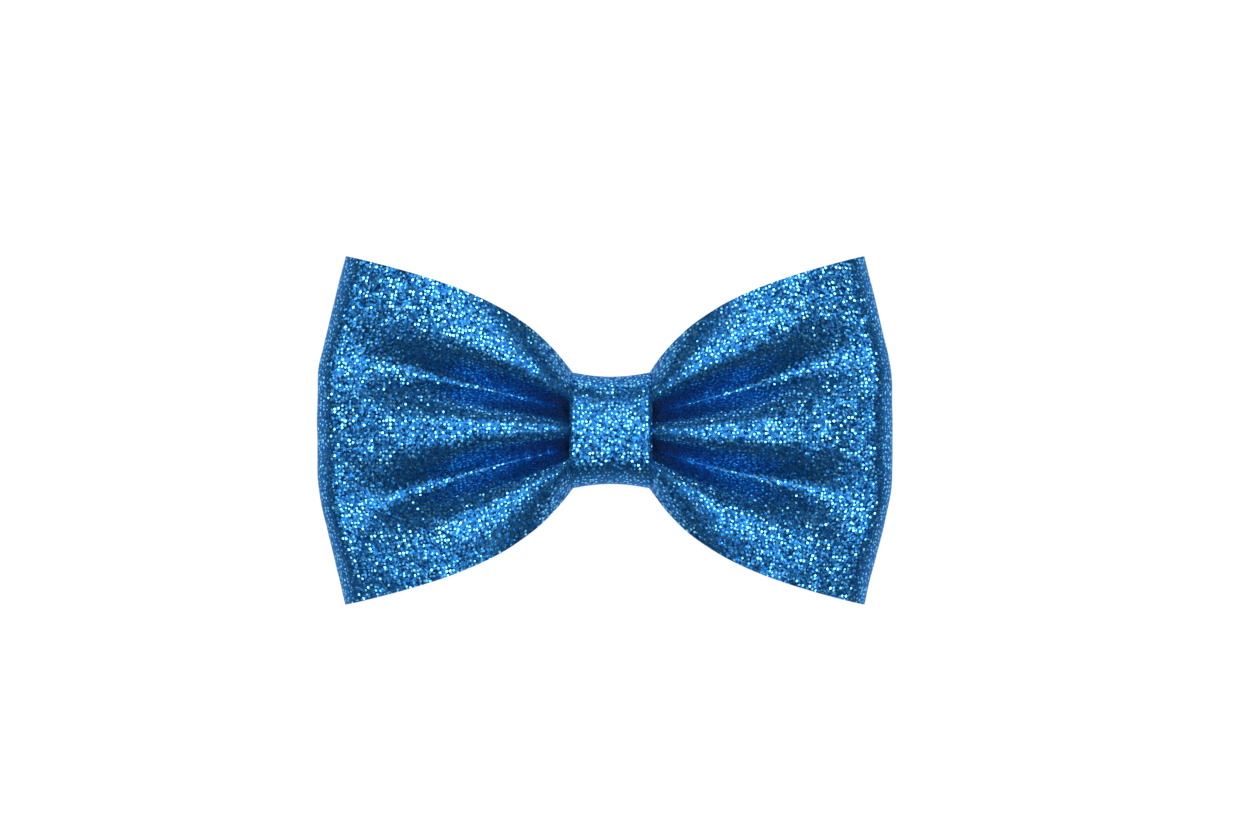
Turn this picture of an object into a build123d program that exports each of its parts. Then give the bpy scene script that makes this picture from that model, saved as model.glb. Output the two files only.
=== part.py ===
"""Pre-made gift bow: two flat loops of glitter fabric, gathered at a wrapped knot, on a peel-off pad.

Millimetres, +Z up. The bow lies on its back, as it sits on a gift. The origin is the middle of its
resting face, under the knot. X runs along the bow, Y across the strip and Z out of the gift.
"""

from build123d import *
from math import cos, exp, hypot, pi, sin, sqrt
import os

# ---- driving dimensions -------------------------------------------------------------------------
LEFT_REACH = 58.6  # knot centre to the tip of the left loop
RIGHT_REACH = 56.2  # the right loop is pulled a little shorter
KNOT_WIDTH = 16.4  # along X
KNOT_HALF_HEIGHT = 11.7  # along Y, at the knot's side edges
FABRIC = 0.8  # glitter fabric with its woven backing
INTERLINING = 0.6  # non-woven stiffener inside each loop
LINING_GAP = 0.3  # between a loop and its interlining

# Stack under the knot, from the gift upwards.
LINER = 0.2
FOAM = 2.5
CARD = 0.8
CARD_GLUE = 0.6
LAP_GLUE = 0.2

# Outline of a loop, seen from the front.
FLARE = 13.5  # the strip springs open beside the knot by this much on each side
FLARE_RATE = 3.9  # per loop length
WIDENING = 9.7  # and then fans out steadily to the fold
FOLD_STRAIGHT = 12.0  # the end fold is square to the bow up to this far from the middle
FOLD_SLOPE = 0.25  # and then runs back towards the knot
FOLD_BEND = 3.0  # softness of the corner between the two

# Thickness of a loop, seen from the side.
FOLD_RADIUS = 3.5
FOLD_HEIGHT = 10.5  # Z of the middle of the end fold
FRONT_CROWN, FRONT_TURN = 5.6, 2.1  # rise of the front panel above the fold, and its half-wave
BACK_CROWN, BACK_TURN = 3.9, 2.4
NECK_PINCH = 2.3  # how far each panel closes in at the knot
NECK_PINCH_POWER = 8
NECK_GAP = 1.8  # knot side to the loop's neck, room for the loop to flex

# Pleats. They fade out towards the fold, where the strip is flat. Rates are per loop length.
PLEAT_DEPTH, PLEAT_SWELL = 7.0, 0.6
NECK_SHALLOW, NECK_SHALLOW_RATE = 0.25, 9.0  # share of the depth that is missing at the knot
BACK_PLEATS, BACK_ROLL = 0.45, 0.8  # shares of the depth and of the roll on the back panel
EDGE_ROLL, EDGE_ROLL_RATE, EDGE_ROLL_REST = 4.0, 3.5, 0.6  # the strip's edges roll back beside the knot
VALLEY_AT_KNOT, VALLEY_SPREAD = 3.7, 12.4  # Y of a valley at the knot, and how much further out it ends
VALLEY_DIVE, VALLEY_DIVE_RATE = 1.8, 20.0  # the front valleys dive as they go in under the wrap
RIDGE_AT_KNOT, RIDGE_SPREAD, RIDGE_BEND = 0.59, 0.34, 1.2  # place of the outer ridges, in half heights
CREST = 1.5  # above 1 the ridges are broad and the valleys sharp
ALONG, ACROSS = 25, 33  # stations along and across one loop's strip
LINING_START, LINING_WIDTH = 7.0, 0.93  # the interlining stops short of the knot and of the edges

# Knot wrap: a narrow strip folded double, once round with its ends lapped at the back.
WRAP = 1.2
WRAP_WAIST = 1.0  # how much lower the wrap's ends are in the middle than at its side edges
WRAP_DIP = 0.3  # the same for its front
WRAP_CORNER = 4.6
WRAP_LAP = 5.0  # half length of the lap
WRAP_FRONT = 17.3  # Z of the front layer, mid-thickness

# Gathered middle of the strip, inside the wrap, and the thread round it.
TIED_HALF, TIED_LOW, TIED_HIGH = 8.8, 7.8, 15.6
SHOULDER_HALF, SHOULDER_LOW, SHOULDER_HIGH = 9.5, 6.85, 16.3
FRONT_GATHERS = (2.4, 3.4)  # depth of the pleats and roll of the edges, on the bundle's front
BACK_GATHERS = (1.6, 3.0)
GATHER_POINTS = 9
SHOULDER_SETBACK = 0.2  # between a shoulder's end and the wrap's side edge
THREAD, THREAD_TURNS, THREAD_PITCH, THREAD_SLACK = 0.6, 6, 0.8, 0.1
THREAD_CORNER = 0.45  # corner radius of a turn, as a share of its height

CARD_LENGTH, CARD_WIDTH, CARD_CORNER = 24.0, 17.0, 3.0
CARD_GLUE_LENGTH, CARD_GLUE_WIDTH, CARD_GLUE_CORNER = 12.0, 9.0, 4.0
LAP_GLUE_LENGTH, LAP_GLUE_WIDTH, LAP_GLUE_CORNER = KNOT_WIDTH - 3.0, 2 * WRAP_LAP - 1.0, 1.5
PAD_INSET = 0.5
TAB_LENGTH, TAB_WIDTH = 5.0, 9.0

KNOT_SIDE = KNOT_WIDTH / 2
PAD_TOP = LINER + FOAM
CARD_TOP = PAD_TOP + CARD
LAP_BOTTOM = CARD_TOP + CARD_GLUE
GLUE_BOTTOM = LAP_BOTTOM + WRAP
WRAP_BACK = GLUE_BOTTOM + LAP_GLUE + WRAP / 2  # Z of the back's inner layer, mid-thickness


# ---- the gathered strip -------------------------------------------------------------------------
def half_height(c):
    """Half the strip's visible height at the share c of the way from the knot to the fold."""
    return KNOT_HALF_HEIGHT + FLARE * (1 - exp(-FLARE_RATE * c)) + WIDENING * c


def set_back(y):
    """How much nearer the knot the end fold is at y than in the middle."""
    beyond = abs(y) - FOLD_STRAIGHT
    return FOLD_SLOPE * (beyond + hypot(beyond, FOLD_BEND)) / 2


def fold(distance):
    """Rise round the end fold: a quarter circle, then its full radius."""
    d = min(distance / FOLD_RADIUS, 1.0)
    return FOLD_RADIUS * sqrt(d * (2 - d))


def crown(c, height, turn):
    """How far a panel stands off the flat, rising from the fold and pinched in again at the knot."""
    q = 1 - c
    return height * sin(turn * q) - NECK_PINCH * q**NECK_PINCH_POWER


def pleat(n, c, depth, roll):
    """Depth below the ridges at n of the half height: three ridges, two valleys and rolled edges."""
    valley = (VALLEY_AT_KNOT + VALLEY_SPREAD * c) / half_height(c)
    ridge = RIDGE_AT_KNOT + RIDGE_SPREAD * c**RIDGE_BEND
    if n < valley:
        return depth * (1 - cos(pi * (n / valley) ** CREST)) / 2
    if n < ridge:
        return depth * (1 - cos(pi * ((ridge - n) / (ridge - valley)) ** CREST)) / 2
    return roll * (1 - cos(pi / 2 * (n - ridge) / (1 - ridge)))


def strip_point(reach, w, t):
    """Middle of the strip. w runs from 1 (front neck) by 0 (end fold) to -1 (back neck), t across."""
    c = 1 - w * w
    tip = reach - set_back(t * half_height(1))
    distance = (tip - KNOT_SIDE) * (1 - c)
    depth = PLEAT_DEPTH * (1 - c) * (1 + PLEAT_SWELL * c) * (1 - NECK_SHALLOW * exp(-NECK_SHALLOW_RATE * c))
    roll = (1 - c) * (EDGE_ROLL * exp(-EDGE_ROLL_RATE * c) + EDGE_ROLL_REST)
    if w >= 0:
        dive = VALLEY_DIVE * exp(-VALLEY_DIVE_RATE * c)
        drop = pleat(abs(t), c, depth + dive, roll)
        z = FOLD_HEIGHT + fold(distance) + crown(c, FRONT_CROWN, FRONT_TURN) - drop
    else:
        drop = pleat(abs(t), c, BACK_PLEATS * depth, BACK_ROLL * roll)
        z = FOLD_HEIGHT - fold(distance) - crown(c, BACK_CROWN, BACK_TURN) + drop
    return Vector(tip - distance, t * half_height(c), z)


def strip_row(reach, w, t_end, inside):
    """Points across the strip at w, moved `inside` the loop along the local normal."""
    step = 1e-3
    row = []
    for j in range(ACROSS):
        t = t_end * (2 * j / (ACROSS - 1) - 1)
        along = strip_point(reach, w - step, t) - strip_point(reach, w + step, t)
        across = strip_point(reach, w, t + step) - strip_point(reach, w, t - step)
        row.append(strip_point(reach, w, t) + along.cross(across).normalized() * -inside)
    return row


def strip_section(reach, w, t_end, inside, thickness, cut):
    """Closed thin outline across the strip at w. At the neck it is cut off square at X = `cut`."""
    rows = [strip_row(reach, w, t_end, inside + side * thickness / 2) for side in (-1, 1)]
    if cut:
        rows = [[Vector(cut, point.Y, point.Z) for point in row] for row in rows]
    with BuildLine() as outline:
        outer = Spline(rows[0])
        inner = Spline(rows[1])
        Line(outer @ 0, inner @ 0)
        Line(outer @ 1, inner @ 1)
    return outline.wire()


def make_loop(label, reach, side, inside=0.0, thickness=FABRIC, start=NECK_GAP, width=1.0):
    """One layer of a loop. side is 1 for the right loop and -1 for the left, which is its mirror image."""
    w_end = sqrt(1 - start / (reach - KNOT_SIDE))
    sections = []
    for i in range(ALONG):
        w = w_end * (1 - 2 * i / (ALONG - 1))
        cut = KNOT_SIDE + start if i in (0, ALONG - 1) else None
        sections.append(strip_section(reach, w, width, inside, thickness, cut))
    layer = Solid.make_loft(sections, ruled=True)
    with BuildPart() as loop:
        add(layer if side > 0 else layer.mirror(Plane.YZ))
    loop.part.label = label
    return loop.part


# ---- the knot -----------------------------------------------------------------------------------
def bundle_sketch(x, half, low, high):
    """Cross-section of the gathered middle of the strip: a closed curve with pleats on both faces."""
    across = [half * (1 - 2 * i / GATHER_POINTS) for i in range(1, GATHER_POINTS)]
    front = [(y, high - pleat(abs(y) / half, 0, *FRONT_GATHERS)) for y in across]
    back = [(y, low + pleat(abs(y) / half, 0, *BACK_GATHERS)) for y in reversed(across)]
    middle = (low + high) / 2
    with BuildSketch(Plane.YZ.offset(x)) as section:
        with BuildLine():
            Spline([(half, middle), *front, (-half, middle), *back], periodic=True)
        make_face()
    return section.sketch


def make_waist():
    """The strip's gathered middle: a narrow part for the thread between two shoulders."""
    tied = THREAD_TURNS * THREAD_PITCH / 2 + THREAD_SLACK
    shoulder = KNOT_SIDE - SHOULDER_SETBACK - tied
    with BuildPart() as waist:
        extrude(bundle_sketch(0, TIED_HALF, TIED_LOW, TIED_HIGH), amount=tied, both=True)
        for side in (-1, 1):
            section = bundle_sketch(side * tied, SHOULDER_HALF, SHOULDER_LOW, SHOULDER_HIGH)
            extrude(section, amount=side * shoulder)
    waist.part.label = "gathered_waist"
    return waist.part


def make_thread():
    """Binding thread: the turns of one winding, each drawn as a closed ring round the waist."""
    clear = THREAD / 2 + THREAD_SLACK
    half, low, high = TIED_HALF + clear, TIED_LOW - clear, TIED_HIGH + clear
    corners = [(-half, low), (half, low), (half, high), (-half, high)]
    with BuildPart() as thread:
        for turn in range(THREAD_TURNS):
            x = (turn - (THREAD_TURNS - 1) / 2) * THREAD_PITCH
            with BuildLine(Plane.YZ.offset(x)) as ring:
                FilletPolyline(*corners, close=True, radius=THREAD_CORNER * (high - low))
            path = ring.wire()
            with BuildSketch(Plane(path @ 0, z_dir=path % 0)):
                Circle(THREAD / 2)
            sweep(path=path)
    thread.part.label = "binding_thread"
    return thread.part


def wrap_section(x):
    """The wrap's thick open ring at one station along X, lapped at the back."""
    inward = 1 - (x / KNOT_SIDE) ** 2
    half = KNOT_HALF_HEIGHT - WRAP / 2 - WRAP_WAIST * inward
    front = WRAP_FRONT - WRAP_DIP * inward
    lap = LAP_BOTTOM + WRAP / 2
    round_the_front = [(half, WRAP_BACK), (half, front), (-half, front), (-half, lap)]
    middle = [(-WRAP_LAP, WRAP_BACK), *round_the_front, (WRAP_LAP, lap)]
    inwards = [(0, 1), (-1, 1), (-1, -1), (1, -1), (1, 1), (0, 1)]
    t = WRAP / 2
    inner = [(y + a * t, z + b * t) for (y, z), (a, b) in zip(middle, inwards)]
    outer = [(y - a * t, z - b * t) for (y, z), (a, b) in zip(middle, inwards)]
    with BuildSketch(Plane.YZ.offset(x)) as section:
        with BuildLine():
            inside = FilletPolyline(*inner, radius=WRAP_CORNER - t)
            outside = FilletPolyline(*outer, radius=WRAP_CORNER + t)
            Line(inside @ 0, outside @ 0)
            Line(inside @ 1, outside @ 1)
        make_face()
    return section.sketch


def make_wrap():
    """Knot wrap, a little waisted between its two folded side edges."""
    stations = (-1, -0.5, 0, 0.5, 1)
    with BuildPart() as wrap:
        loft([wrap_section(station * KNOT_SIDE).face() for station in stations])
    wrap.part.label = "knot_wrap"
    return wrap.part


# ---- the mounting stack -------------------------------------------------------------------------
def make_plate(label, length, width, thickness, bottom, corner):
    """Flat rounded layer."""
    with BuildPart() as plate:
        with BuildSketch(Plane.XY.offset(bottom)):
            RectangleRounded(length, width, corner)
        extrude(amount=thickness)
    plate.part.label = label
    return plate.part


def make_liner():
    """Release liner: the card's outline with a finger tab to peel it by."""
    with BuildPart() as liner:
        with BuildSketch():
            RectangleRounded(CARD_LENGTH, CARD_WIDTH, CARD_CORNER)
            with Locations((CARD_LENGTH / 2, 0)):
                RectangleRounded(2 * TAB_LENGTH, TAB_WIDTH, TAB_WIDTH / 3)
        extrude(amount=LINER)
    liner.part.label = "release_liner"
    return liner.part


# Reaches are to the outside of the fold, and the strip's points are in its middle.
left = LEFT_REACH - FABRIC / 2
right = RIGHT_REACH - FABRIC / 2
lining = {
    "inside": (FABRIC + INTERLINING) / 2 + LINING_GAP,
    "thickness": INTERLINING,
    "start": LINING_START,
    "width": LINING_WIDTH,
}
pad_length = CARD_LENGTH - 2 * PAD_INSET
pad_width = CARD_WIDTH - 2 * PAD_INSET
pieces = [
    make_loop("left_loop", left, -1),
    make_loop("right_loop", right, 1),
    make_loop("left_interlining", left, -1, **lining),
    make_loop("right_interlining", right, 1, **lining),
    make_waist(),
    make_thread(),
    make_wrap(),
    make_plate("wrap_glue", LAP_GLUE_LENGTH, LAP_GLUE_WIDTH, LAP_GLUE, GLUE_BOTTOM, LAP_GLUE_CORNER),
    make_plate("card_glue", CARD_GLUE_LENGTH, CARD_GLUE_WIDTH, CARD_GLUE, CARD_TOP, CARD_GLUE_CORNER),
    make_plate("mounting_card", CARD_LENGTH, CARD_WIDTH, CARD, PAD_TOP, CARD_CORNER),
    make_plate("foam_pad", pad_length, pad_width, FOAM, LINER, CARD_CORNER - PAD_INSET),
    make_liner(),
]
os.makedirs("parts", exist_ok=True)
for piece in pieces:
    export_step(piece, f"parts/{piece.label}.step")
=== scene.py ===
"""Looks of the pre-made gift bow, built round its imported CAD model.

Shapes are in millimetres until they become meshes.
"""
from math import pi, radians

import bpy
import numpy as np
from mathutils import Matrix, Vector


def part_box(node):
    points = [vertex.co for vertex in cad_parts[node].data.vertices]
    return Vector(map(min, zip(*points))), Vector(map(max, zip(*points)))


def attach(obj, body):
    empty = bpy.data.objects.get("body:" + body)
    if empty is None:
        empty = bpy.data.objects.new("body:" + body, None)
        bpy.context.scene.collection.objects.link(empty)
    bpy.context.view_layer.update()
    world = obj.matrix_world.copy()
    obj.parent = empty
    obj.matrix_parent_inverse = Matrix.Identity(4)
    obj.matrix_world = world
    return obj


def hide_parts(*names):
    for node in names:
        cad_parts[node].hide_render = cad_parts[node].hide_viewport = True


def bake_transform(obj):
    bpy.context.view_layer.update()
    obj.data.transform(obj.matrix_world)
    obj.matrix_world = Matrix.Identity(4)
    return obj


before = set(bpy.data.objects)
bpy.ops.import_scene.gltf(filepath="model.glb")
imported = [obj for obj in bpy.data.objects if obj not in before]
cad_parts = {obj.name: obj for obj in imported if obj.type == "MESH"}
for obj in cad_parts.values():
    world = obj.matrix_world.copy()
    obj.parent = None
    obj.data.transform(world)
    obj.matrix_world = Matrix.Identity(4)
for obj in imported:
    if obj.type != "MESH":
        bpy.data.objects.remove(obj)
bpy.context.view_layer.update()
MM = 0.001

# ---- the bow's dimensions, as in its CAD model ----------------------------------------------------
LEFT_REACH = 58.6
RIGHT_REACH = 56.2
KNOT_WIDTH = 16.4
KNOT_HALF_HEIGHT = 11.7
FABRIC = 0.8
INTERLINING = 0.6
LINING_GAP = 0.3
FLARE, FLARE_RATE, WIDENING = 13.5, 3.9, 9.7
FOLD_STRAIGHT, FOLD_SLOPE, FOLD_BEND = 12.0, 0.25, 3.0
FOLD_RADIUS, FOLD_HEIGHT = 3.5, 10.5
FRONT_CROWN, FRONT_TURN = 5.6, 2.1
BACK_CROWN, BACK_TURN = 3.9, 2.4
NECK_PINCH, NECK_PINCH_POWER = 2.3, 8
PLEAT_DEPTH, PLEAT_SWELL = 7.0, 0.6
NECK_SHALLOW, NECK_SHALLOW_RATE = 0.25, 9.0
BACK_PLEATS, BACK_ROLL = 0.45, 0.8
EDGE_ROLL, EDGE_ROLL_RATE, EDGE_ROLL_REST = 4.0, 3.5, 0.6
VALLEY_AT_KNOT, VALLEY_SPREAD = 3.7, 12.4
VALLEY_DIVE, VALLEY_DIVE_RATE = 1.8, 20.0
RIDGE_AT_KNOT, RIDGE_SPREAD, RIDGE_BEND = 0.59, 0.34, 1.2
CREST = 1.5  # above 1, the pleats' ridges are broader than their valleys
LINING_START, LINING_WIDTH = 7.0, 0.93
WRAP, WRAP_WAIST, WRAP_DIP, WRAP_CORNER, WRAP_LAP = 1.2, 1.0, 0.3, 4.6, 5.0
WRAP_FRONT, WRAP_BACK, WRAP_LAPPED = 17.3, 6.1, 4.7
KNOT_SIDE = KNOT_WIDTH / 2

# ---- what the CAD model leaves out ----------------------------------------------------------------
PLEAT_SWAY, SWAY_TURNS = 0.02, 4.5  # how far a pleat wanders, in half heights, and how fast
RIGHT_PHASE, LEFT_PHASE = 1.0, 4.0  # where each side's sway starts, in radians
RUMPLES, RUMPLE_SLOPE = 14, 0.03  # number of waves, and their slope taken together
RUMPLE_SHORTEST, RUMPLE_LONGEST = 5.0, 14.0
RUMPLE_SEED = 7
WRAP_CROWN = 1.6  # how far the front of the wrap falls away from its middle to its ends
UNDER_WRAP = 1.5  # how far each strip runs in under the wrap
WRAP_EDGE = 0.08  # share of the wrap's half width over which its side edges round off
WRAP_EDGE_THINNEST = 0.02  # keeps that edge from closing to nothing
FOAM_BULGE, FOAM_CORNER = 0.35, 3.0

# ---- how finely it is meshed ----------------------------------------------------------------------
STRIP_GRID = 261, 181  # points along and across
LINING_GRID = 121, 81
WRAP_GRID = 281, 61
FOAM_RINGS, FOAM_AROUND = 15, 240
PATH_STEP, CORNER_POINTS = 0.25, 24  # of the wrap's outline
ROW_BIAS = 0.35  # draws rows together at the neck, where they would lie too far apart
SHARP = radians(50)  # edges that turn by more than this are shaded as sharp
FLAT_OFFSET = 200  # moves each loop's flat coordinates, so that no two pieces show the same flakes

# ---- the studio, in metres and watts --------------------------------------------------------------
FLOOR_HALF, FLOOR_WALL, FLOOR_DROP = 3.0, 0.6, 0.0001
LIGHTS = (  # name, where it shines from, distance, size, power
    ("left_key", (-0.2, 0.08, 1.0), 1.3, 0.42, 4.9),
    ("right_key", (0.2, 0.08, 1.0), 1.3, 0.42, 4.9),
    ("overhead", (0.0, 0.0, 1.0), 1.35, 1.5, 4.5),
    ("top_fill", (0.0, 1.0, 0.15), 0.8, 0.3, 1.0),
    ("left_fill", (-1.0, 0.0, 0.10), 0.8, 0.2, 0.25),
    ("right_fill", (1.0, 0.0, 0.10), 0.8, 0.2, 0.25),
)
WORLD_COLOUR, WORLD_STRENGTH = (0.75, 0.84, 1.0, 1), 0.03

# ---- node helpers ---------------------------------------------------------------------------------
BANDS_PER_UNIT = 3.18  # bands in one unit of a wave texture whose scale is 1
WHITE = (1.0, 1.0, 1.0, 1.0)


class Nodes:
    """A material's node tree, with short calls for the nodes used here."""

    def __init__(self, name, roughness=0.5):
        self.material = bpy.data.materials.new(name)
        self.material.use_nodes = True
        self.tree = self.material.node_tree
        self.shader = self.tree.nodes["Principled BSDF"]
        self.shader.inputs["Roughness"].default_value = roughness

    def add(self, kind, **settings):
        node = self.tree.nodes.new(kind)
        for key, value in settings.items():
            setattr(node, key, value)
        return node

    def put(self, value, socket):
        if isinstance(value, bpy.types.NodeSocket):
            self.tree.links.new(value, socket)
        else:
            socket.default_value = value

    def math(self, operation, a, b):
        node = self.add("ShaderNodeMath", operation=operation)
        self.put(a, node.inputs[0])
        self.put(b, node.inputs[1])
        return node.outputs[0]

    def between(self, value, low, high, out_low=0.0, out_high=1.0):
        node = self.add("ShaderNodeMapRange", interpolation_type="SMOOTHSTEP")
        for i, v in enumerate((value, low, high, out_low, out_high)):
            self.put(v, node.inputs[i])
        return node.outputs[0]

    def mix(self, factor, a, b):
        node = self.add("ShaderNodeMix", data_type="RGBA")
        self.put(factor, node.inputs["Factor"])
        self.put(a, node.inputs[6])
        self.put(b, node.inputs[7])
        return node.outputs[2]

    def surface(self, scale=1.0):
        """The piece's own flat coordinates, in millimetres times scale."""
        uv = self.add("ShaderNodeUVMap", uv_map="flat")
        mapping = self.add("ShaderNodeVectorMath", operation="SCALE")
        self.put(uv.outputs[0], mapping.inputs[0])
        mapping.inputs["Scale"].default_value = scale
        return mapping.outputs[0]

    def cells(self, size, feature="F1", randomness=1.0):
        node = self.add("ShaderNodeTexVoronoi", voronoi_dimensions="2D", feature=feature)
        self.put(self.surface(1.0 / size), node.inputs["Vector"])
        node.inputs["Scale"].default_value = 1.0
        node.inputs["Randomness"].default_value = randomness
        return node

    def split(self, colour):
        node = self.add("ShaderNodeSeparateColor")
        self.put(colour, node.inputs[0])
        return node.outputs

    def tilt(self, colour, amount):
        """A normal-map colour leaning at random: most by little, and a few by up to `amount`."""
        red, green, _ = self.split(colour)
        node = self.add("ShaderNodeCombineColor")
        for i, channel in enumerate((red, green)):
            centred = self.math("SUBTRACT", channel, 0.5)
            cubed = self.math("MULTIPLY", self.math("MULTIPLY", centred, centred), centred)
            self.put(self.math("ADD", self.math("MULTIPLY", cubed, 4 * amount), 0.5), node.inputs[i])
        node.inputs[2].default_value = 1.0
        return node.outputs[0]

    def bump(self, height, strength, distance):
        node = self.add("ShaderNodeBump")
        node.inputs["Strength"].default_value = strength
        node.inputs["Distance"].default_value = distance
        self.put(height, node.inputs["Height"])
        return node.outputs[0]


# ---- materials ------------------------------------------------------------------------------------
def glitter_material():
    """Round flakes 0.3 to 0.55 mm across, strewn on a finer bed of flakes in a deep blue binder."""
    n = Nodes("glitter_blue")
    big_pitch, fine_pitch = 0.76, 0.42
    big = n.cells(big_pitch, randomness=0.85)
    fine = n.cells(fine_pitch)
    gaps = n.cells(fine_pitch, feature="DISTANCE_TO_EDGE")
    size, keep, _ = n.split(big.outputs["Color"])
    radius = n.math("ADD", n.math("MULTIPLY", size, 0.14), 0.22)
    rim = n.math("SUBTRACT", radius, big.outputs["Distance"])
    flake = n.between(rim, 0.0, 0.05)
    flake = n.math("MULTIPLY", flake, n.between(keep, 0.08, 0.12))
    shade, _, _ = n.split(fine.outputs["Color"])
    bed = n.mix(shade, (0.004, 0.062, 0.26, 1), (0.018, 0.21, 0.56, 1))
    bed = n.mix(n.between(gaps.outputs["Distance"], 0.02, 0.12), (0.001, 0.034, 0.16, 1), bed)
    bright = n.mix(size, (0.07, 0.37, 0.72, 1), (0.21, 0.64, 0.90, 1))
    n.put(n.mix(flake, bed, bright), n.shader.inputs["Base Color"])
    lean = n.mix(flake, n.tilt(fine.outputs["Color"], 0.36), n.tilt(big.outputs["Color"], 0.44))
    normal = n.add("ShaderNodeNormalMap", uv_map="flat")
    n.put(lean, normal.inputs["Color"])
    n.put(normal.outputs[0], n.shader.inputs["Normal"])
    n.put(n.between(flake, 0.0, 1.0, 0.76, 1.0), n.shader.inputs["Metallic"])
    n.put(n.between(flake, 0.0, 1.0, 0.40, 0.31), n.shader.inputs["Roughness"])
    n.shader.inputs["Specular Tint"].default_value = (0.45, 0.62, 0.90, 1)
    n.shader.inputs["Sheen Weight"].default_value = 0.06
    n.shader.inputs["Sheen Roughness"].default_value = 0.4
    n.shader.inputs["Sheen Tint"].default_value = (0.45, 0.60, 0.80, 1)
    return n.material


def woven_material(name, dark, light, thread):
    """Plain weave with threads `thread` mm apart."""
    n = Nodes(name, roughness=0.85)
    across, along = n.add("ShaderNodeTexWave"), n.add("ShaderNodeTexWave", bands_direction="Y")
    for wave in (across, along):
        n.put(n.surface(), wave.inputs["Vector"])
        wave.inputs["Scale"].default_value = 1 / (BANDS_PER_UNIT * thread)
        wave.inputs["Distortion"].default_value = 0.6
        wave.inputs["Detail"].default_value = 1.0
    height = n.math("MULTIPLY", across.outputs["Fac"], along.outputs["Fac"])
    n.put(n.mix(height, dark, light), n.shader.inputs["Base Color"])
    n.put(n.bump(height, 0.7, 0.1 * MM), n.shader.inputs["Normal"])
    n.shader.inputs["Sheen Weight"].default_value = 0.2
    return n.material


def felt_material():
    """Non-woven interlining: pressed fibres, faintly dimpled."""
    n = Nodes("interlining_felt", roughness=0.95)
    fibres = n.add("ShaderNodeTexNoise", noise_dimensions="2D")
    n.put(n.surface(), fibres.inputs["Vector"])
    fibres.inputs["Scale"].default_value = 1.3
    fibres.inputs["Detail"].default_value = 5.0
    fibres.inputs["Distortion"].default_value = 2.5
    strands = n.between(fibres.outputs["Fac"], 0.35, 0.65)
    bonds = n.cells(1.3, randomness=0.15)
    loft = n.between(bonds.outputs["Distance"], 0.12, 0.32)
    pressed = n.mix(strands, (0.30, 0.38, 0.47, 1), (0.44, 0.52, 0.60, 1))
    fluffy = n.mix(strands, (0.46, 0.53, 0.60, 1), (0.82, 0.86, 0.90, 1))
    n.put(n.mix(loft, pressed, fluffy), n.shader.inputs["Base Color"])
    height = n.math("ADD", loft, n.math("MULTIPLY", strands, 0.5))
    n.put(n.bump(height, 0.8, 0.15 * MM), n.shader.inputs["Normal"])
    return n.material


def solid_noise_material(name, dark, light, scale, roughness, bump):
    """Mottled material in the object's own space, for the parts inside and behind the knot."""
    n = Nodes(name, roughness=roughness)
    place = n.add("ShaderNodeTexCoord")
    noise = n.add("ShaderNodeTexNoise")
    n.put(place.outputs["Object"], noise.inputs["Vector"])
    noise.inputs["Scale"].default_value = scale
    noise.inputs["Detail"].default_value = 6.0
    n.put(n.mix(noise.outputs["Fac"], dark, light), n.shader.inputs["Base Color"])
    n.put(n.bump(noise.outputs["Fac"], 0.5, bump * MM), n.shader.inputs["Normal"])
    return n.material


# ---- the gathered strip ---------------------------------------------------------------------------
def half_height(c):
    return KNOT_HALF_HEIGHT + FLARE * (1 - np.exp(-FLARE_RATE * c)) + WIDENING * c


def set_back(y):
    beyond = np.abs(y) - FOLD_STRAIGHT
    return FOLD_SLOPE * (beyond + np.hypot(beyond, FOLD_BEND)) / 2


def fold(distance):
    d = np.minimum(distance / FOLD_RADIUS, 1.0)
    return FOLD_RADIUS * np.sqrt(d * (2 - d))


def crown(c, height, turn):
    q = 1 - c
    return height * np.sin(turn * q) - NECK_PINCH * q**NECK_PINCH_POWER


def pleat(n, c, depth, roll):
    """Depth below the ridges at n of the half height: three broad ridges, two sharp valleys, rolled edges."""
    valley = (VALLEY_AT_KNOT + VALLEY_SPREAD * c) / half_height(c)
    ridge = RIDGE_AT_KNOT + RIDGE_SPREAD * np.abs(c) ** RIDGE_BEND
    down = np.clip(n / valley, 0, 1) ** CREST
    up = np.clip((ridge - n) / (ridge - valley), 0, 1) ** CREST
    off = np.clip((n - ridge) / (1 - ridge), 0, 1)
    inner = depth * (1 - np.cos(pi * down)) / 2
    slope = depth * (1 - np.cos(pi * up)) / 2
    edge = roll * (1 - np.cos(pi / 2 * off))
    return np.where(n < valley, inner, np.where(n < ridge, slope, edge))


def strip_middle(reach, w, t, phase):
    """Middle of the strip for arrays of w (1 front neck, 0 fold, -1 back neck) and t (across)."""
    c = 1 - w * w
    n = np.abs(t + PLEAT_SWAY * np.sin(SWAY_TURNS * c + phase) * (1 - t * t))
    y = t * half_height(c)
    tip = reach - set_back(t * half_height(1.0))
    distance = (tip - KNOT_SIDE) * (1 - c)
    shallowing = 1 - NECK_SHALLOW * np.exp(-NECK_SHALLOW_RATE * c)
    depth = PLEAT_DEPTH * (1 - c) * (1 + PLEAT_SWELL * c) * shallowing
    dive = VALLEY_DIVE * np.exp(-VALLEY_DIVE_RATE * c)
    roll = (1 - c) * (EDGE_ROLL * np.exp(-EDGE_ROLL_RATE * c) + EDGE_ROLL_REST)
    front = fold(distance) + crown(c, FRONT_CROWN, FRONT_TURN) - pleat(n, c, depth + dive, roll)
    back_pleat = pleat(n, c, BACK_PLEATS * depth, BACK_ROLL * roll)
    back = fold(distance) + crown(c, BACK_CROWN, BACK_TURN) - back_pleat
    z = FOLD_HEIGHT + np.where(w >= 0, front, -back)
    return np.stack([tip - distance, y, z], axis=-1)


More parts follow.
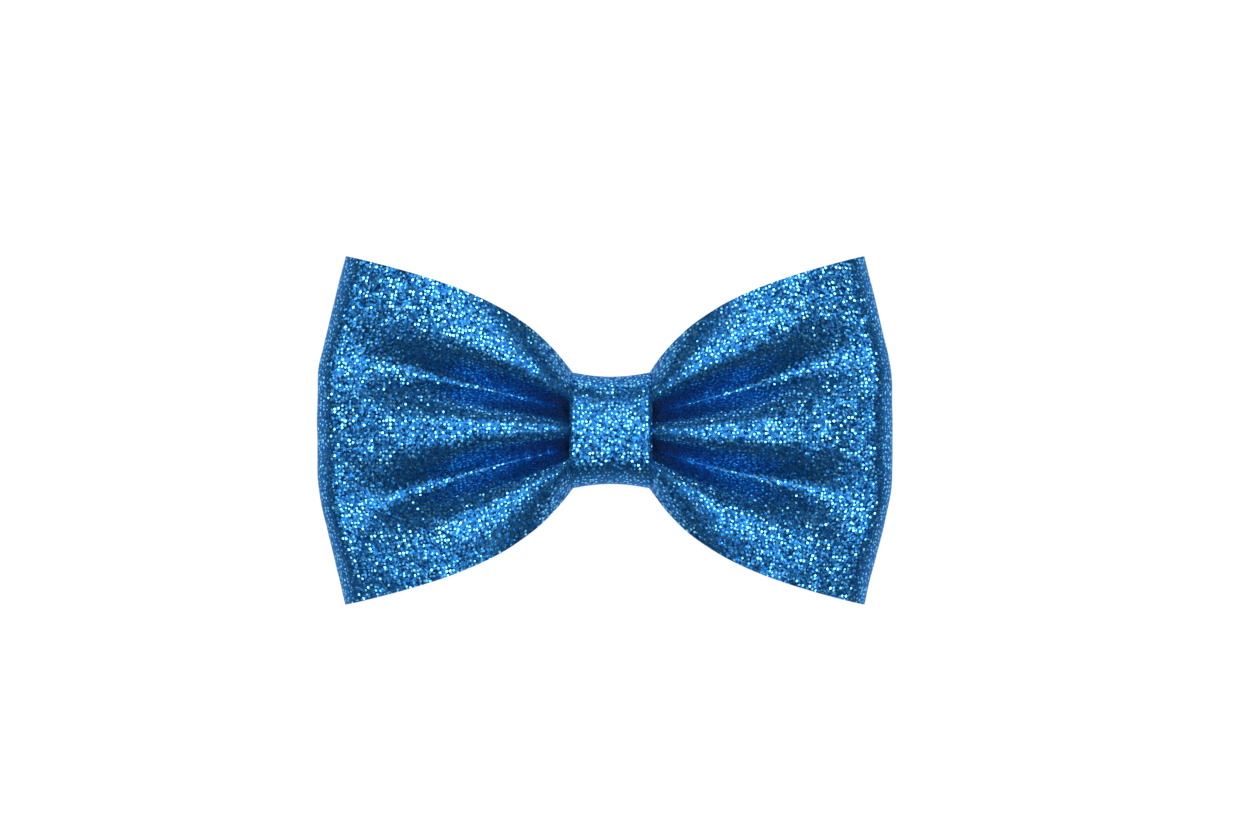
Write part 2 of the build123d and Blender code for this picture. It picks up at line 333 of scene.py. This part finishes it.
def normals(points):
    """Unit normals of a grid of points, out of the loop."""
    along, across = np.gradient(points, axis=0), np.gradient(points, axis=1)
    normal = np.cross(along, across)
    return normal / np.linalg.norm(normal, axis=-1, keepdims=True)


def rumpled(points, seed):
    """The grid with faint random undulations, as hand-gathered fabric has."""
    rng = np.random.default_rng(seed)
    height = np.zeros(points.shape[:2])
    for _ in range(RUMPLES):
        direction = rng.uniform(0, 2 * pi)
        wave = 2 * pi / rng.uniform(RUMPLE_SHORTEST, RUMPLE_LONGEST)
        flat = points[..., 0] * np.cos(direction) + points[..., 1] * np.sin(direction)
        height += np.sin(wave * flat + rng.uniform(0, 2 * pi)) / wave
    return points + normals(points) * (RUMPLE_SLOPE * height / np.sqrt(RUMPLES / 2))[..., None]


def arc_lengths(points):
    """Flat coordinates in millimetres: lengths along the strip's middle and across it."""
    rows, columns = points.shape[:2]
    steps = np.linalg.norm(np.diff(points[:, columns // 2], axis=0), axis=-1)
    u = np.concatenate([[0], np.cumsum(steps)])[:, None].repeat(columns, axis=1)
    widths = np.linalg.norm(np.diff(points, axis=1), axis=-1)
    v = np.concatenate([np.zeros((rows, 1)), np.cumsum(widths, axis=1)], axis=1)
    return np.stack([u, v - v[:, columns // 2, None]], axis=-1)


def grid_faces(rows, columns, first, flip):
    """Quads of a grid of vertices numbered row by row from `first`."""
    i, j = np.meshgrid(np.arange(rows - 1), np.arange(columns - 1), indexing="ij")
    a = (first + i * columns + j).ravel()
    quads = np.stack([a, a + 1, a + columns + 1, a + columns], axis=1)
    return quads[:, ::-1] if flip else quads


def rim_faces(rows, columns):
    """Quads joining the borders of two equal grids, the second numbered after the first."""
    border = list(range(columns))
    border += [i * columns + columns - 1 for i in range(1, rows)]
    border += [(rows - 1) * columns + j for j in range(columns - 2, -1, -1)]
    border += [i * columns for i in range(rows - 2, 0, -1)]
    ring = np.array(border)
    after = np.roll(ring, -1)
    second = rows * columns
    return np.stack([ring, ring + second, after + second, after], axis=1)


def sheet_piece(name, outside, inside, flat, materials):
    """Closed thin mesh between two grids of points. materials: outside, inside, edges."""
    rows, columns = outside.shape[:2]
    points = np.concatenate([outside.reshape(-1, 3), inside.reshape(-1, 3)]) * MM
    count = rows * columns
    quads = [
        grid_faces(rows, columns, 0, False),
        grid_faces(rows, columns, count, True),
        rim_faces(rows, columns),
    ]
    mesh = bpy.data.meshes.new(name)
    faces = np.concatenate(quads)
    mesh.from_pydata(points.tolist(), [], faces.tolist())
    for material in materials:
        mesh.materials.append(material)
    slots = np.concatenate([np.full(len(part), i) for i, part in enumerate(quads)])
    mesh.polygons.foreach_set("material_index", slots.astype(np.int32))
    uv = mesh.uv_layers.new(name="flat")
    both = np.concatenate([flat.reshape(-1, 2)] * 2)
    uv.data.foreach_set("uv", both[faces.ravel()].ravel())
    mesh.shade_smooth()
    mesh.set_sharp_from_angle(angle=SHARP)
    mesh.update()
    return place(name, mesh)


def place(name, data):
    """A new object in the scene, holding a mesh, light or camera."""
    obj = bpy.data.objects.new(name, data)
    bpy.context.scene.collection.objects.link(obj)
    return obj


def strip_grid(reach, start, width, grid, phase):
    """Grid on the strip's middle, from `start` mm off the knot round the fold and back."""
    along, across = grid
    w_end = np.sqrt(1 - start / (reach - KNOT_SIDE))
    s = np.linspace(1, -1, along)
    w = w_end * s * (1 + ROW_BIAS - ROW_BIAS * np.abs(s))
    t = np.linspace(-width, width, across)
    return strip_middle(reach, w[:, None], t[None, :], phase)


def loop_layer(name, side, middle, depth, thickness, materials):
    """One layer of a loop, `depth` inside the strip's middle."""
    out = normals(middle)
    outside = middle - out * (depth - thickness / 2)
    inside = middle - out * (depth + thickness / 2)
    flat = arc_lengths(outside) + FLAT_OFFSET * side
    if side < 0:
        outside, inside, flat = (grid[:, ::-1] for grid in (outside, inside, flat))
        outside, inside = outside * (-1, 1, 1), inside * (-1, 1, 1)
    return sheet_piece(name, outside, inside, flat, materials)


def make_loop(side, reach, glitter, backing, cut, felt):
    """One loop of the strip, bending where it leaves the knot, and the stiffener inside it."""
    word = "right" if side > 0 else "left"
    body = f"{word}_loop_body"
    reach -= FABRIC / 2
    phase = RIGHT_PHASE if side > 0 else LEFT_PHASE
    middle = strip_grid(reach, -UNDER_WRAP, 1.0, STRIP_GRID, phase)
    middle = rumpled(middle, RUMPLE_SEED + side)
    strip = loop_layer(f"{word}_strip", side, middle, 0.0, FABRIC, [glitter, backing, cut])
    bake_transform(strip)
    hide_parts(f"{word}_loop")
    depth = (FABRIC + INTERLINING) / 2 + LINING_GAP
    middle = strip_grid(reach, LINING_START, LINING_WIDTH, LINING_GRID, phase)
    lining = loop_layer(f"{word}_lining", side, middle, depth, INTERLINING, [felt, felt, felt])
    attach(lining, body)
    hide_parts(f"{word}_interlining")


# ---- the knot wrap --------------------------------------------------------------------------------
def rounded_path(corners, radius):
    """Points along straight runs and corner arcs, evenly spaced. corners are (y, z)."""
    pieces = []
    corners = [np.array(corner, float) for corner in corners]
    start = corners[0]
    for before, corner, after in zip(corners, corners[1:], corners[2:]):
        back = (before - corner) / np.linalg.norm(before - corner)
        on = (after - corner) / np.linalg.norm(after - corner)
        pieces.append([start, corner + back * radius])
        centre = corner + (back + on) * radius
        angles = np.linspace(0, pi / 2, CORNER_POINTS)[:, None]
        arc = centre - on * radius * np.cos(angles) - back * radius * np.sin(angles)
        pieces.append(list(arc))
        start = corner + on * radius
    pieces.append([start, corners[-1]])
    points = np.concatenate([np.array(piece) for piece in pieces])
    lengths = np.concatenate([[0], np.cumsum(np.linalg.norm(np.diff(points, axis=0), axis=1))])
    even = np.linspace(0, lengths[-1], int(lengths[-1] / PATH_STEP) + 1)
    return np.stack([np.interp(even, lengths, points[:, k]) for k in (0, 1)], axis=1)


def wrap_middle(x, steps):
    """The wrap's mid-line at one station along X, from its hidden end round the front to its lapped end."""
    inward = 1 - (x / KNOT_SIDE) ** 2
    half = KNOT_HALF_HEIGHT - WRAP / 2 - WRAP_WAIST * inward
    front = WRAP_FRONT - WRAP_DIP * inward
    corners = [(-WRAP_LAP, WRAP_BACK), (half, WRAP_BACK), (half, front)]
    corners += [(-half, front), (-half, WRAP_LAPPED), (WRAP_LAP, WRAP_LAPPED)]
    path = rounded_path(corners, WRAP_CORNER)
    above = np.clip((path[:, 1] - FOLD_HEIGHT) / (front - FOLD_HEIGHT), 0, 1)
    path[:, 1] -= WRAP_CROWN * above * (np.abs(path[:, 0]) / half) ** 2
    even = np.linspace(0, len(path) - 1, steps)
    return np.stack([np.interp(even, np.arange(len(path)), path[:, k]) for k in (0, 1)], axis=1)


def make_wrap(glitter):
    """The band round the knot, with rounded side edges."""
    steps, stations = WRAP_GRID
    across = np.linspace(-1, 1, stations)
    edge = np.clip((np.abs(across) - (1 - WRAP_EDGE)) / WRAP_EDGE, 0, 1)
    half_thickness = WRAP / 2 * np.sqrt(np.maximum(1 - edge**2, WRAP_EDGE_THINNEST))
    x = (KNOT_SIDE - WRAP / 2) * across + np.sign(across) * WRAP / 2 * edge
    grid = np.zeros((steps, stations, 3))
    for j in range(stations):
        grid[:, j, 0] = x[j]
        grid[:, j, 1:] = wrap_middle(x[j], steps)
    flat_normal = normals(grid)
    flat_normal[:, :, 0] = 0
    flat_normal /= np.linalg.norm(flat_normal, axis=-1, keepdims=True)
    outside = grid + flat_normal * half_thickness[None, :, None]
    inside = grid - flat_normal * half_thickness[None, :, None]
    band = sheet_piece("knot_band", outside, inside, arc_lengths(outside), [glitter, glitter, glitter])
    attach(band, "knot")
    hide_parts("knot_wrap")


# ---- the foam pad ---------------------------------------------------------------------------------
def make_foam(material):
    """Closed-cell pad pressed between card and liner: its sides bulge and its corners are soft."""
    low, high = (Vector(corner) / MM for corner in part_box("foam_pad"))
    rings, around = FOAM_RINGS, FOAM_AROUND
    angles = np.linspace(0, 2 * pi, around, endpoint=False)
    cosine, sine = np.cos(angles), np.sin(angles)
    half = np.array([(high.x - low.x) / 2, (high.y - low.y) / 2])
    straight = half - FOAM_CORNER
    beyond = half.max() * 2
    points = []
    for u in np.linspace(-1, 1, rings):
        out = FOAM_CORNER - FOAM_BULGE + FOAM_BULGE * np.sqrt(1 - u * u)
        x = np.clip(cosine * beyond, -straight[0], straight[0]) + out * cosine
        y = np.clip(sine * beyond, -straight[1], straight[1]) + out * sine
        z = np.full(around, (low.z + high.z) / 2 + u * (high.z - low.z) / 2)
        points.append(np.stack([x, y, z], axis=1))
    grid = np.concatenate(points) * MM
    faces = []
    for i in range(rings - 1):
        for j in range(around):
            a, b = i * around + j, i * around + (j + 1) % around
            faces.append((a, b, b + around, a + around))
    faces.append(tuple(range(around - 1, -1, -1)))
    faces.append(tuple(range((rings - 1) * around, rings * around)))
    mesh = bpy.data.meshes.new("foam_block")
    mesh.from_pydata(grid.tolist(), [], faces)
    mesh.shade_smooth()
    mesh.set_sharp_from_angle(angle=SHARP)
    mesh.materials.append(material)
    foam = place("foam_block", mesh)
    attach(foam, "knot")
    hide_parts("foam_pad")


# ---- floor, light and camera ----------------------------------------------------------------------
def make_floor():
    """Pale floor with a low pale wall round it, so that a low view has no dark horizon."""
    half = FLOOR_HALF
    corners = [(-half, -half), (half, -half), (half, half), (-half, half)]
    points = [(x, y, z) for z in (0, FLOOR_WALL) for x, y in corners]
    faces = [(0, 1, 2, 3)] + [(i, (i + 1) % 4, (i + 1) % 4 + 4, i + 4) for i in range(4)]
    mesh = bpy.data.meshes.new("floor")
    mesh.from_pydata(points, [], faces)
    floor = place("floor", mesh)
    floor.location.z = -FLOOR_DROP
    n = Nodes("floor_white", roughness=0.9)
    n.shader.inputs["Base Color"].default_value = (0.35, 0.35, 0.35, 1)
    n.shader.inputs["Specular IOR Level"].default_value = 0.0
    n.shader.inputs["Emission Color"].default_value = WHITE
    n.shader.inputs["Emission Strength"].default_value = 0.85
    mesh.materials.append(n.material)


def area_light(name, direction, distance, size, power):
    """Soft round light aimed at the bow from `direction`."""
    light = bpy.data.lights.new(name, "AREA")
    light.shape = "DISK"
    light.size = size
    light.energy = power
    obj = place(name, light)
    aim = Vector(direction).normalized()
    obj.location = aim * distance
    obj.rotation_euler = aim.to_track_quat("Z", "Y").to_euler()


def make_lights():
    for light in LIGHTS:
        area_light(*light)
    world = bpy.data.worlds.new("studio")
    world.use_nodes = True
    background = world.node_tree.nodes["Background"]
    background.inputs["Color"].default_value = WORLD_COLOUR
    background.inputs["Strength"].default_value = WORLD_STRENGTH
    bpy.context.scene.world = world


def make_camera():
    """Long lens, straight above the bow, which sits a little off the middle of the frame."""
    aside, above, distance = 2.6 * MM, 2.85 * MM, 0.9
    frame_width, frame_level = 248.3 * MM, 12 * MM
    camera = bpy.data.cameras.new("camera")
    camera.sensor_width = 36.0
    camera.lens = camera.sensor_width * (distance - frame_level) / frame_width
    obj = place("camera", camera)
    obj.location = (aside, above, distance)
    bpy.context.scene.camera = obj
    bpy.context.scene.view_settings.view_transform = "Standard"


def paint(node, material):
    """Gives a CAD node's own object a better material."""
    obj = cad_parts[node]
    obj.data.materials.clear()
    obj.data.materials.append(material)


def main():
    glitter = glitter_material()
    backing = woven_material("backing_weave", (0.004, 0.02, 0.07, 1), (0.02, 0.09, 0.25, 1), 0.35)
    cut = woven_material("cut_edge", (0.015, 0.08, 0.24, 1), (0.07, 0.27, 0.52, 1), 0.35)
    felt = felt_material()
    make_loop(1, RIGHT_REACH, glitter, backing, cut, felt)
    make_loop(-1, LEFT_REACH, glitter, backing, cut, felt)
    make_wrap(glitter)
    card = solid_noise_material(
        "card_board", (0.70, 0.68, 0.63, 1), (0.86, 0.85, 0.81, 1), scale=900, roughness=0.8, bump=0.03
    )
    foam = solid_noise_material(
        "foam_white", (0.72, 0.72, 0.69, 1), (0.93, 0.93, 0.90, 1), scale=1600, roughness=0.9, bump=0.12
    )
    glue = solid_noise_material(
        "hot_melt", (0.62, 0.58, 0.45, 1), (0.80, 0.77, 0.66, 1), scale=250, roughness=0.35, bump=0.05
    )
    liner = solid_noise_material(
        "liner_paper", (0.84, 0.79, 0.62, 1), (0.90, 0.86, 0.72, 1), scale=300, roughness=0.3, bump=0.01
    )
    thread = solid_noise_material(
        "thread_navy", (0.01, 0.04, 0.12, 1), (0.04, 0.13, 0.30, 1), scale=3000, roughness=0.6, bump=0.05
    )
    waist = solid_noise_material(
        "waist_blue", (0.004, 0.03, 0.12, 1), (0.04, 0.25, 0.55, 1), scale=2200, roughness=0.4, bump=0.08
    )
    paint("mounting_card", card)
    make_foam(foam)
    paint("wrap_glue", glue)
    paint("card_glue", glue)
    paint("release_liner", liner)
    paint("binding_thread", thread)
    paint("gathered_waist", waist)
    make_floor()
    make_lights()
    make_camera()


main()
